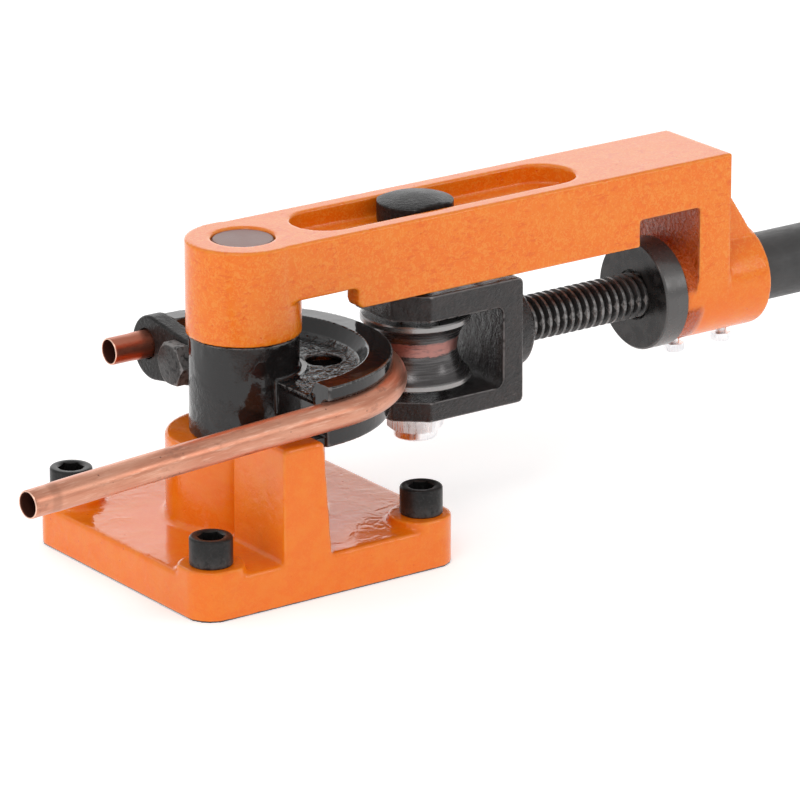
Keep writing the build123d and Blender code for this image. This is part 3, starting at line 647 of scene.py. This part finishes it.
def hex_ring(across_flats, height, chamfer=0.0):
    """Hexagon outline. With a chamfer of 1 its corners rise, and with -1 they dip."""
    points = []
    for angle in around(RING_STEPS):
        reach = hex_reach(angle, across_flats)
        outside = max(0.0, reach - chamfer_radius(across_flats))
        rise = outside * tan(HEX_CHAMFER) * chamfer
        points.append((reach * cos(angle), reach * sin(angle), height + rise))
    return points


def hex_prism_rings(across_flats, low, high, top_chamfer=True):
    """Rings of a hexagon bar whose corners are turned off at its lower end, or at both."""
    circle = chamfer_radius(across_flats)
    rings = [ring(circle, low), hex_ring(across_flats, low, 1.0)]
    if top_chamfer:
        return rings + [hex_ring(across_flats, high, -1.0), ring(circle, high)]
    return rings + [hex_ring(across_flats, high)]


def thread(name, radius, pitch, depth, crest, root, low, high, matrix, material, steps=48):
    """Right-hand screw thread along local Z, as one closed piece with flat ends.

    crest and root are the widths of the thread's flats. The rest of the pitch is its two flanks.
    The crest's two corners are slightly broken.
    """
    flank = (pitch - crest - root) / 2
    corner = 0.12 * crest
    section = (
        (0.0, radius - corner), (corner, radius), (crest - corner, radius), (crest, radius - corner),
        (crest + flank, radius - depth), (crest + flank + root, radius - depth),
    )
    first = int((low - pitch) // pitch) - 1
    last = int((high + pitch) // pitch) + 1
    rows = [(turn * pitch + offset, reach) for turn in range(first, last) for offset, reach in section]
    per_turn = len(section)
    vertices, faces = [], []
    for i, angle in enumerate(around(steps)):
        for height, reach in rows:
            place = min(max(height + pitch * i / steps, low), high)
            vertices.append(matrix @ Vector((reach * cos(angle), reach * sin(angle), place)))
    count = len(rows)
    for i in range(steps):
        j = (i + 1) % steps
        shift = 0 if j else per_turn
        for k in range(count - 1 - shift):
            faces.append((i * count + k, j * count + k + shift,
                          j * count + k + 1 + shift, i * count + k + 1))
    mesh = bpy.data.meshes.new(name)
    mesh.from_pydata(vertices, [], faces)
    shape = welded(mesh, WELD)
    # what lies on the two end planes gives way to one flat face each
    inverse = matrix.inverted()
    ends = [
        face for face in shape.faces
        if any(all(abs((inverse @ v.co).z - end) < WELD / 10 for v in face.verts) for end in (low, high))
    ]
    bmesh.ops.delete(shape, geom=ends, context="FACES")
    bmesh.ops.holes_fill(shape, edges=[edge for edge in shape.edges if edge.is_boundary])
    turn_outwards(shape, mesh)
    mesh.materials.append(material)
    return shade(new_object(name, mesh), THREAD_EDGE)


def join(name, pieces):
    """Several meshes as one piece."""
    mesh = bpy.data.meshes.new(name)
    shape = bmesh.new()
    materials = []
    for piece in pieces:
        part = piece.data
        start = len(materials)
        materials.extend(part.materials)
        before = len(shape.faces)
        shape.from_mesh(part)
        shape.faces.ensure_lookup_table()
        for face in shape.faces[before:]:
            face.material_index += start
        bpy.data.objects.remove(piece)
    shape.to_mesh(mesh)
    shape.free()
    for material in materials:
        mesh.materials.append(material)
    return shade(new_object(name, mesh), THREAD_EDGE)


def stand_for(piece, node, body):
    """The piece rides on its body in place of a CAD node."""
    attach(piece, body)
    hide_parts(node)


def casting(node, body, material, voxel, rounds, uneven):
    """Cast copy of a CAD node: rounded edges and a faintly uneven skin, never outside the CAD.

    It is remeshed in cells of `voxel`, smoothed `rounds` times and sunk by about `uneven`.
    """
    source = NODES[node].data.copy()
    shape = bmesh.new()
    shape.from_mesh(source)
    bmesh.ops.remove_doubles(shape, verts=shape.verts, dist=WELD)
    shape.to_mesh(source)
    shape.free()
    piece = new_object(node + "_cast", source)
    remesh = piece.modifiers.new("skin", "REMESH")
    remesh.mode = "VOXEL"
    remesh.voxel_size = voxel
    soften = piece.modifiers.new("soft", "SMOOTH")
    soften.factor = 0.5
    soften.iterations = rounds
    bpy.context.view_layer.update()
    view = bpy.context.evaluated_depsgraph_get()
    mesh = bpy.data.meshes.new_from_object(piece.evaluated_get(view))
    piece.modifiers.clear()
    piece.data = mesh
    normals = [vertex.normal.copy() for vertex in mesh.vertices]
    for vertex, normal in zip(mesh.vertices, normals):
        # the lump is between -1.5 and 1.5, so the skin only ever sinks
        lump = noise.noise(vertex.co / LUMP_SIZE) + 0.5 * noise.noise(vertex.co / RIPPLE_SIZE)
        vertex.co -= normal * uneven * (0.75 + 0.5 * lump)
    mesh.materials.clear()
    mesh.materials.append(material)
    shade(piece, CAST_EDGE)
    stand_for(piece, node, body)


# ================================================================ pieces
TO_X_AXIS = Matrix.Rotation(pi / 2, 4, "Y")
TUBE_STEPS = 260
TUBE_SIDES = 56
BURR_LENGTH = 0.6 * MM


def paint_node(node, material):
    """Gives a carried-over CAD node its finish."""
    mesh = NODES[node].data
    mesh.materials.clear()
    mesh.materials.append(material)


def make_adjusting_screw(material):
    """Trapezoidal 20 x 4 thread from the yoke's boss into the handle."""
    low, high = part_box("adjusting_screw")
    along = Matrix.Translation((0, 0, AXIS_Z)) @ TO_X_AXIS
    screw = thread("adjusting_screw_thread", (high.z - low.z) / 2, pitch=4 * MM, depth=2.25 * MM,
                   crest=1.5 * MM, root=1.3 * MM, low=low.x, high=high.x, matrix=along,
                   material=material)
    stand_for(screw, "adjusting_screw", "yoke")


def make_bench_screw(number, material):
    """Socket-head screw: rounded head, countersunk hexagon socket and a coarse thread."""
    node = f"bench_screw_{number}"
    low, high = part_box(node)
    centre = (low + high) / 2
    head_r = (high.x - low.x) / 2
    head_low = high.z - 12 * MM
    top_round = 1.1 * MM
    bottom_edge = 0.5 * MM
    stud_r = 6 * MM
    neck_r = 5.5 * MM
    socket = 10 * MM
    socket_foot = 0.985 * socket
    socket_floor = high.z - 6 * MM
    drill_tip = socket_floor - 1.2 * MM
    mouth_r = 6.2 * MM
    mouth_slope = 0.55

    # from the drilled tip in the socket, out over the head and in again under it
    rings = [ring(0.1 * MM, drill_tip), hex_ring(socket_foot, socket_floor)]
    mouth = []
    for angle in around(RING_STEPS):
        reach = hex_reach(angle, socket)
        mouth.append((reach * cos(angle), reach * sin(angle), high.z - (mouth_r - reach) * mouth_slope))
    rings.append(mouth)
    rings.append(ring(mouth_r, high.z))
    for turn in quarter_turn():
        rings.append(ring(head_r - top_round + top_round * sin(turn),
                          high.z - top_round + top_round * cos(turn)))
    rings.append(ring(head_r, head_low + bottom_edge))
    rings.append(ring(head_r - bottom_edge, head_low))
    rings.append(ring(neck_r, head_low))

    at = Matrix.Translation((centre.x, centre.y, 0))
    head = place_rings(rings, at, f"head_{number}", material)
    rod = thread(f"rod_{number}", stud_r, pitch=1.75 * MM, depth=1.07 * MM, crest=0.22 * MM,
                 root=0.44 * MM, low=low.z, high=head_low + bottom_edge, matrix=at,
                 material=material, steps=32)
    screw = join(f"bench_screw_body_{number}", [head, rod])
    stand_for(screw, node, "bench_unit")


def make_roller_nut(steel, nylon):
    """Locking nut: chamfered hexagon, rolled collar and a nylon ring inside it."""
    low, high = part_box("roller_nut")
    centre = (low + high) / 2
    across = high.y - low.y
    hex_low = high.z - 10 * MM
    bore_r = 7.1 * MM
    bore_chamfer = 0.9 * MM
    collar_r = 9.5 * MM
    lip = 1.3 * MM
    mouth_r = 8.0 * MM
    mouth_depth = 0.7 * MM
    nylon_outer = 7.98 * MM
    nylon_inner = 6.9 * MM

    # down the outside, round the collar's lip and up the bore, back to where it started
    rings = [ring(bore_r, high.z - bore_chamfer), ring(bore_r + bore_chamfer, high.z)]
    rings += reversed(hex_prism_rings(across, hex_low, high.z))
    rings.append(ring(collar_r, hex_low - 0.1 * MM))
    for turn in quarter_turn():
        rings.append(ring(collar_r - lip + lip * cos(turn), low.z + lip - lip * sin(turn)))
    rings.append(ring(mouth_r, low.z))
    rings.append(ring(mouth_r, low.z + mouth_depth))
    rings.append(ring(bore_r, low.z + mouth_depth))
    rings.append(ring(bore_r, high.z - bore_chamfer))

    at = Matrix.Translation((centre.x, centre.y, 0))
    nut = place_rings(rings, at, "nut_body", steel, close=False)
    washer = place_rings([
        ring(nylon_outer, low.z + 0.6 * MM),
        ring(nylon_outer, low.z + 0.5 * MM),
        ring(nylon_inner, low.z + 0.4 * MM),
        ring(nylon_inner, low.z + 1.6 * MM),
        ring(nylon_outer, low.z + 0.6 * MM),
    ], at, "nut_ring", nylon, close=False)
    whole = join("roller_lock_nut", [nut, washer])
    stand_for(whole, "roller_nut", "yoke")


def make_hex_screw(node, body, name, material, across, head, rod_r, pitch, matrix):
    """Hexagon-head screw with a metric thread. Local Z runs from head to tip, and the head is below 0."""
    rings = hex_prism_rings(across, -head, 0.0, top_chamfer=False)
    prism = place_rings(rings, matrix, name + "_head", material)
    low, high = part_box(node)
    length = max(high - low) - head
    rod = thread(name + "_rod", rod_r, pitch, depth=0.61 * pitch, crest=0.125 * pitch,
                 root=0.25 * pitch, low=-0.2 * MM, high=length, matrix=matrix, material=material,
                 steps=28)
    screw = join(name, [prism, rod])
    stand_for(screw, node, body)


def make_handle_screw(number, material):
    """Set screw that points up into the arm's boss."""
    node = f"handle_screw_{number}"
    low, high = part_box(node)
    head = 3.6 * MM
    at = Matrix.Translation(((low.x + high.x) / 2, 0, low.z + head))
    make_hex_screw(node, "arm", f"handle_set_screw_{number}", material,
                   across=high.y - low.y, head=head, rod_r=2.5 * MM, pitch=0.8 * MM, matrix=at)


def make_clamp_bolt(material):
    """Bolt along X that holds the tube clamp to the die."""
    low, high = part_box("clamp_bolt")
    head = 6.4 * MM
    at = Matrix.Translation((low.x + head, (low.y + high.y) / 2, (low.z + high.z) / 2)) @ TO_X_AXIS
    make_hex_screw("clamp_bolt", "bench_unit", "clamp_hex_bolt", material,
                   across=17 * MM, head=head, rod_r=4.95 * MM, pitch=1.5 * MM, matrix=at)


def tube_stations():
    """Points along the copper tube's centreline: (distance, place, sideways direction)."""
    ends = [step * MM for step in (0.0, 0.15, 0.3, 0.6, 1.0)]
    between = [TUBE_LENGTH * i / TUBE_STEPS for i in range(1, TUBE_STEPS)]
    marks = ends + between + [TUBE_LENGTH - step for step in ends]
    stations = []
    for distance in sorted(marks):
        run = distance - FAR_LEG
        if run < 0:
            side = Vector((0, 1, 0))
            place = Vector((run, BEND_R, BEND_Z))
        elif run < BEND_LENGTH:
            angle = pi / 2 - run / BEND_R
            side = Vector((cos(angle), sin(angle), 0))
            place = side * BEND_R + Vector((0, 0, BEND_Z))
        else:
            run -= BEND_LENGTH
            side = Vector((cos(BEND_END), sin(BEND_END), 0))
            drop = NEAR_LEG_SAG * (run / NEAR_LEG) ** 2
            place = side * BEND_R + Vector((sin(BEND_END) * run, -cos(BEND_END) * run, BEND_Z - drop))
        stations.append((distance, place, side))
    return stations


def deburred(distance, depth):
    """How far an edge is broken back, at a distance along the tube."""
    from_end = min(distance, TUBE_LENGTH - distance)
    return depth * max(0.0, 1 - from_end / BURR_LENGTH) ** 2


def make_copper_tube(outside, bore, cut):
    """Drawn tube: a hair smaller at its cut ends, whose edges are deburred inside and out."""
    stations = tube_stations()
    rows = []
    for distance, place, side in stations:
        from_end = min(distance, TUBE_LENGTH - distance)
        past_sizing = min(1.0, max(0.0, (from_end - SIZED_LENGTH) / (1.5 * MM)))
        sized = 0.18 * MM * (1 - past_sizing)
        rows.append((distance, place, side, TUBE_R - sized - deburred(distance, 0.35 * MM)))
    for distance, place, side in reversed(stations):
        rows.append((distance, place, side, TUBE_R - TUBE_WALL + deburred(distance, 0.30 * MM)))

    vertices, straight, faces, kinds = [], [], [], []
    for distance, place, side, reach in rows:
        for angle in around(TUBE_SIDES):
            vertices.append(place + side * (reach * cos(angle)) + Vector((0, 0, reach * sin(angle))))
            straight.append((distance, reach * cos(angle), reach * sin(angle)))
    # rows go out along the outside and back along the bore, with two bright rings at each cut edge
    outer, total = len(stations), len(rows)
    bright = (0, 1, outer - 3, outer - 2, outer - 1, outer, total - 2, total - 1)
    for row in range(total):
        after = (row + 1) % total
        kind = 2 if row in bright else int(row >= outer)
        for i in range(TUBE_SIDES):
            j = (i + 1) % TUBE_SIDES
            faces.append((row * TUBE_SIDES + i, row * TUBE_SIDES + j,
                          after * TUBE_SIDES + j, after * TUBE_SIDES + i))
            kinds.append(kind)
    mesh = bpy.data.meshes.new("copper_tube_drawn")
    mesh.from_pydata(vertices, [], faces)
    mesh.polygons.foreach_set("material_index", kinds)
    # the copper's pattern follows the tube as if it were straight
    layer = mesh.attributes.new("unrolled", "FLOAT_VECTOR", "POINT")
    layer.data.foreach_set("vector", [value for point in straight for value in point])
    for material in (outside, bore, cut):
        mesh.materials.append(material)
    shape = bmesh.new()
    shape.from_mesh(mesh)
    turn_outwards(shape, mesh)
    tube = shade(new_object("copper_tube_drawn", mesh), TUBE_EDGE)
    stand_for(tube, "copper_tube", "bench_unit")


def make_floor():
    half = FLOOR_SIZE / 2
    corners = [(-half, -half, 0), (half, -half, 0), (half, half, 0), (-half, half, 0)]
    floor = new_piece("floor", corners, [(0, 1, 2, 3)], floor_paper())


# ================================================================ build
make_camera()
make_studio()
make_floor()

orange = orange_enamel()
enamel = black_enamel()
oxide = black_oxide("black_oxide_screw", 0.008, 0.040, roughness=(0.30, 0.42), shine=0.35)
# the forged pieces' edges turn paler sooner: a painted highlight on the bolt head's rim as well as wear
forged = black_oxide("black_forged", 0.014, 0.060, roughness=(0.30, 0.46), grain_size=1.6 * MM,
                     relief=0.34 * MM, shine=0.2, wear_and_highlight=(0.528, 0.575))
screw_steel = black_oxide("black_oxide_thread", 0.030, 0.100, roughness=(0.18, 0.30))
zinc = zinc_plate()
bush_metal = bronze()

casting("base_casting", "bench_unit", orange,
        voxel=0.88 * MM, rounds=1, uneven=0.06 * MM)
casting("arm_casting", "arm", orange,
        voxel=0.90 * MM, rounds=1, uneven=0.06 * MM)
casting("bending_die", "bench_unit", enamel,
        voxel=0.65 * MM, rounds=1, uneven=0.06 * MM)
casting("roller_yoke", "yoke", yoke_enamel(),
        voxel=0.62 * MM, rounds=1, uneven=0.08 * MM)
casting("tube_clamp", "bench_unit", forged,
        voxel=0.45 * MM, rounds=2, uneven=0.04 * MM)
casting("roller_bolt", "yoke", forged,
        voxel=0.50 * MM, rounds=1, uneven=0.03 * MM)

make_adjusting_screw(screw_steel)
for number in range(1, 5):
    make_bench_screw(number, oxide)
make_roller_nut(zinc, nylon_insert())
for number in (1, 2):
    make_handle_screw(number, zinc)
make_clamp_bolt(forged)
make_copper_tube(copper(), copper_bore(), copper_cut())

paint_node("pivot_pin", pin_steel())
paint_node("pivot_bush", bush_metal)
paint_node("roller_bush", bush_metal)
paint_node("handle_tube", handle_paint())
paint_node("handle_plug", moulded_plastic())
paint_node("grooved_roller", roller_steel())
paint_node("roller_shim_lower", zinc)
paint_node("roller_shim_upper", zinc)
paint_node("adjusting_wheel", turned_wheel_steel())
paint_node("screw_lock_pin", oxide)
